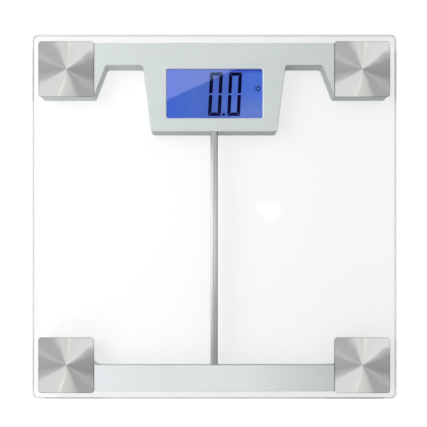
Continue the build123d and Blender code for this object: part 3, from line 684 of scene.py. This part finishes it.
def zero(cx):
    """The six outer segments of a seven-segment digit, with mitred ends and a blunt waist."""
    w, h, s, g = DIGIT_W, DIGIT_H, STROKE, GAP
    top = [(g + 0.5, h), (w - g - 0.5, h), (w - g - 0.1, h - 0.4), (w - s - g, h - s), (s + g, h - s),
           (g + 0.1, h - 0.4)]
    side = [(0, h - g - 0.9), (0.35, h - g - 0.4), (s, h - s - g), (s, h / 2 + 1.3), (s * 0.7, h / 2 + 0.6),
            (s * 0.35, h / 2 + 0.6), (0, h / 2 + 1.2)]
    segments = []
    for upside_down in (False, True):
        segments.append([(x, h - y if upside_down else y) for x, y in top])
        for mirrored in (False, True):
            segments.append([(w - x if mirrored else x, h - y if upside_down else y) for x, y in side])
    return [slanted(segment, cx) for segment in segments]


def oval(centre, radii, n=28):
    """Outline of an oval with n points."""
    turns = [2 * math.pi * i / n for i in range(n)]
    return [(centre[0] + radii[0] * math.cos(a), centre[1] + radii[1] * math.sin(a)) for a in turns]


ink_piece("display_digits", zero(FIRST_DIGIT_X) + zero(SECOND_DIGIT_X) + [POINT])
ink_piece("display_unit_mark", [MARK_BAR],
          [(oval(MARK_RING_AT, MARK_RING_OUTER), oval(MARK_RING_AT, MARK_RING_INNER))])


# ---------------------------------------------------------------- floor

FLOOR_RADIUS = 4.0
FLOOR_DROP = 0.4 * MM
FLOOR_GLOW = 0.845


def painted_floor_shade(t):
    """Painted shade: how much darker the floor glows below the glass, to the right, the front and past the
    far edges.
    """
    x, y, _ = t.xyz(t.coords())
    right = t.step(x, -110 * MM, 130 * MM, 0.018, 0.07)
    front = t.step(y, 20 * MM, -150 * MM, 0.0, 0.04)
    past_rear = t.step(y, 150 * MM, 157 * MM, 0.0, 0.06)
    past_left = t.step(x, -148 * MM, -154 * MM, 0.0, 0.04)
    return t.add(t.add(right, front), t.most(past_rear, past_left))


def pale_floor():
    """Plain pale floor that glows evenly to the camera, with painted shade dimming it below the glass for
    other rays; clear from below so that the underside can be looked at.
    """
    m, t = material("pale_floor")
    grain = t.noise(t.coords(), 900.0)
    pale = t.scale_colour((0.93, 0.93, 0.93, 1), t.vary(grain, 0.995, 1.005))
    matt = t.node("ShaderNodeBsdfDiffuse", None, Color=t.scale_colour(pale, 0.27)).outputs[0]
    ray = t.node("ShaderNodeLightPath")
    # Painted shade, kept from camera rays.
    painted_shade = t.mul(painted_floor_shade(t), t.sub(1.0, ray.outputs["Is Camera Ray"]))
    seen = t.sub(FLOOR_GLOW, painted_shade)
    steep = t.size(t.geometry("Incoming")[2])
    lit_above = t.step(steep, 0.55, 0.95, 0.0, 0.6)
    diffuse = ray.outputs["Is Diffuse Ray"]
    strength = t.add(t.mul(diffuse, lit_above), t.mul(t.sub(1.0, diffuse), seen))
    shine = t.node("ShaderNodeEmission", None, Color=(1, 1, 1, 1), Strength=strength).outputs[0]
    both = t.node("ShaderNodeAddShader", None, _0=matt, _1=shine).outputs[0]
    clear = t.node("ShaderNodeBsdfTransparent").outputs[0]
    from_below = t.node("ShaderNodeNewGeometry").outputs["Backfacing"]
    surface(t, t.node("ShaderNodeMixShader", None, _0=from_below, _1=both, _2=clear).outputs[0])
    return m


def make_floor():
    bm = bmesh.new()
    bmesh.ops.create_circle(bm, cap_ends=True, segments=96, radius=FLOOR_RADIUS)
    mesh = bpy.data.meshes.new("floor")
    bm.to_mesh(mesh)
    bm.free()
    obj = bpy.data.objects.new("floor", mesh)
    obj.location.z = -FLOOR_DROP
    scene.collection.objects.link(obj)
    mesh.materials.append(pale_floor())


make_floor()


# ---------------------------------------------------------------- light

# The bright patch mirrored in the glass: x, y and radius of two overlapping discs, in millimetres.
PATCH = ((48.0, 4.5, 8.6), (41.5, 7.0, 5.6))
PATCH_LEVEL = 0.75
PATCH_RAGGED = 1.2
PATCH_BLUR = 1.6
PANEL_LEVEL = 0.28


def mirrored_level(t, dx, dy, dz):
    """Brightness that the glass mirrors: a faint glow to the left, the slanting panel and the patch."""
    gx, gy = seen_at(t, dx, dy, dz)
    level = t.span(dx, -0.25, 0.3, 0.05, 0.0)
    level = t.add(level, t.mul(bright_panel(t, gx, gy), PANEL_LEVEL))
    ragged = t.vary(t.noise(t.join(gx, gy), 130.0), -PATCH_RAGGED * MM, PATCH_RAGGED * MM)
    for cx, cy, r in PATCH:
        off = t.join(t.sub(gx, cx * MM), t.sub(gy, cy * MM))
        away = t.node("ShaderNodeVectorMath", {"operation": "LENGTH"}, _0=off).outputs["Value"]
        disc = t.step(t.add(away, ragged), (r + PATCH_BLUR) * MM, (r - PATCH_BLUR) * MM, 0.0, PATCH_LEVEL)
        level = t.most(level, disc)
    return level


def make_world():
    """Pale studio: soft light from above, its own picture for mirror rays, and white behind the object."""
    world = bpy.data.worlds.new("studio")
    scene.world = world
    world.use_nodes = True
    t = Tree(world.node_tree)
    dx, dy, dz = t.xyz(t.node("ShaderNodeTexCoord").outputs["Generated"])
    sky = t.mul(t.step(dz, 0.05, 0.85, 0.06, 0.98), t.span(dx, -0.5, 0.5, 1.1, 0.86))
    ray = t.node("ShaderNodeLightPath")
    off_top = t.mul(ray.outputs["Is Reflection Ray"], ray.outputs["Is Singular Ray"])
    through_twice = t.math("COMPARE", ray.outputs["Transmission Depth"], 2.0, 0.1)
    one_bounce = t.math("COMPARE", ray.outputs["Glossy Depth"], 1.0, 0.1)
    mirror = t.most(off_top, t.mul(through_twice, one_bounce))
    level = t.add(t.mul(mirrored_level(t, dx, dy, dz), mirror), t.mul(sky, t.sub(1.0, mirror)))
    shown = t.mix(ray.outputs["Is Camera Ray"], t.join(level, level, level), (1, 1, 1, 1))
    background = t.node("ShaderNodeBackground", None, Color=shown, Strength=1.0).outputs[0]
    t.node("ShaderNodeOutputWorld", None, Surface=background)


def softbox(name, at, target, size, power):
    """Rectangular lamp that lights the object and stays out of mirror images."""
    light = bpy.data.lights.new(name, "AREA")
    light.shape = "RECTANGLE"
    light.size, light.size_y = size
    light.energy = power
    obj = bpy.data.objects.new(name, light)
    obj.location = at
    obj.rotation_mode = "QUATERNION"
    obj.rotation_quaternion = (Vector(target) - Vector(at)).to_track_quat("-Z", "Y")
    obj.visible_glossy = False
    obj.visible_transmission = False
    obj.visible_camera = False
    scene.collection.objects.link(obj)


make_world()
LIGHT_TARGET = (-0.02, 0.0, 0.0)
softbox("fill_softbox", (-0.42, -0.45, 0.35), LIGHT_TARGET, (0.3, 0.3), 1.3)
softbox("key_softbox", (-0.6, 0.2, 0.55), LIGHT_TARGET, (0.5, 0.6), 4.2)


# ---------------------------------------------------------------- camera

SENSOR_WIDTH = 36.0
cam_data = bpy.data.cameras.new("camera")
cam = bpy.data.objects.new("camera", cam_data)
scene.collection.objects.link(cam)
scene.camera = cam
cam.location = home
cam_data.sensor_width = SENSOR_WIDTH
cam_data.lens = SENSOR_WIDTH * EYE_HEIGHT / VIEW_WIDTH
cam_data.clip_start = 10 * MM


def home_shift(path, value):
    """Lens shift that holds only while the camera is at its own place, so other views stay centred."""
    driver = cam_data.driver_add(path).driver
    height = driver.variables.new()
    height.name = "h"
    height.type = "TRANSFORMS"
    height.targets[0].id = cam
    height.targets[0].transform_type = "LOC_Z"
    height.targets[0].transform_space = "WORLD_SPACE"
    driver.type = "SCRIPTED"
    driver.expression = f"{value:.6f} if abs(h - {home.z:.6f}) < 0.00001 else 0.0"


home_shift("shift_x", (VIEW_CENTRE[0] - home.x) / VIEW_WIDTH)
home_shift("shift_y", (VIEW_CENTRE[1] - home.y) / VIEW_WIDTH)
